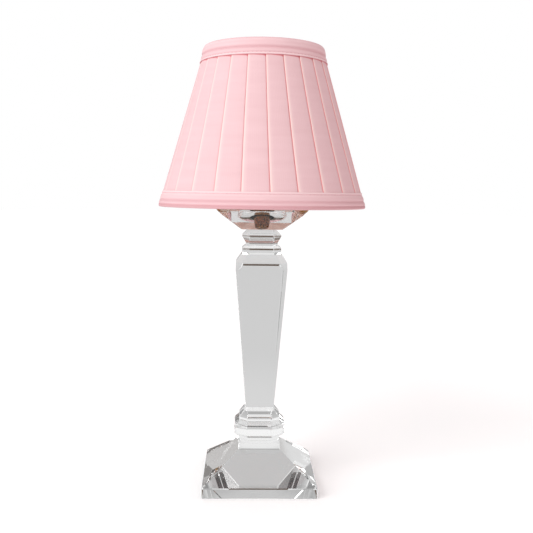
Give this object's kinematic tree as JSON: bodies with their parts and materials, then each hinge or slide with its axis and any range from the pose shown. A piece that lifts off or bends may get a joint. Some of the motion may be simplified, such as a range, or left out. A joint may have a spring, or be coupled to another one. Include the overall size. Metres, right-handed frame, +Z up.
{
  "type": "candle lamp with shade",
  "caption": "Clear faceted crystal candlestick carrying a spring-fed candle tube and a pink pleated cone shade on a wire carrier.",
  "frame": {"origin": "centre of the base's underside, on the surface that the lamp stands on", "axes": "+Z up along the stem, -Y towards the front, square with the base's sides"},
  "size_m": [0.1286, 0.1286, 0.2712],
  "materials": {
    "crystal": "clear, polished facets",
    "brass": "spun and polished",
    "spring_steel": "drawn wire",
    "wax": "smooth ivory wax",
    "wick_cotton": "braided cotton",
    "frame_enamel": "white enamel on wire",
    "lining": "smooth stiff lining",
    "pink_silk": "pleated silk"
  },
  "bodies": {
    "candlestick": {"base_block": "crystal", "lower_neck": "crystal", "lower_knop": "crystal", "column": "crystal", "upper_neck": "crystal", "drip_pan": "crystal", "socket_cup": "brass"},
    "tube": {"tube_peg": "brass", "candle_tube": "brass", "bayonet_pins": "brass", "candle_spring": "spring_steel"},
    "candle": {"follower": "brass", "candle": "wax", "wick": "wick_cotton"},
    "cap": {"tube_cap": "brass"},
    "carrier": {"carrier_collar": "brass", "carrier_arms": "brass", "carrier_ring": "brass"},
    "shade": {"gallery_ring": "frame_enamel", "gallery_spokes": "frame_enamel", "frame_ribs": "frame_enamel", "top_ring": "frame_enamel", "bottom_ring": "frame_enamel", "shade_lining": "lining", "shade_cover": "pink_silk", "top_band": "pink_silk", "bottom_band": "pink_silk"}
  },
  "joints": [
    {"name": "tube_lift", "type": "slide", "parent": "candlestick", "child": "tube", "axis": [0, 0, 1], "range_m": [0, 0.05]},
    {"name": "candle_feed", "type": "slide", "parent": "tube", "child": "candle", "axis": [0, 0, 1], "range_m": [-0.012, 0], "stiffness_N_per_m": 80, "springref_m": 0.03, "deforming": ["candle_spring"]},
    {"name": "cap_twist", "type": "hinge", "parent": "tube", "child": "cap", "pos_m": [0, 0, 0.2327], "axis": [0, 0, 1], "range_deg": [0, 30]},
    {"name": "carrier_turn", "type": "hinge", "parent": "cap", "child": "carrier", "pos_m": [0, 0, 0.2339], "axis": [0, 0, 1], "continuous": true},
    {"name": "shade_lift", "type": "slide", "parent": "carrier", "child": "shade", "axis": [0, 0, 1], "range_m": [0, 0.1]}
  ]
}
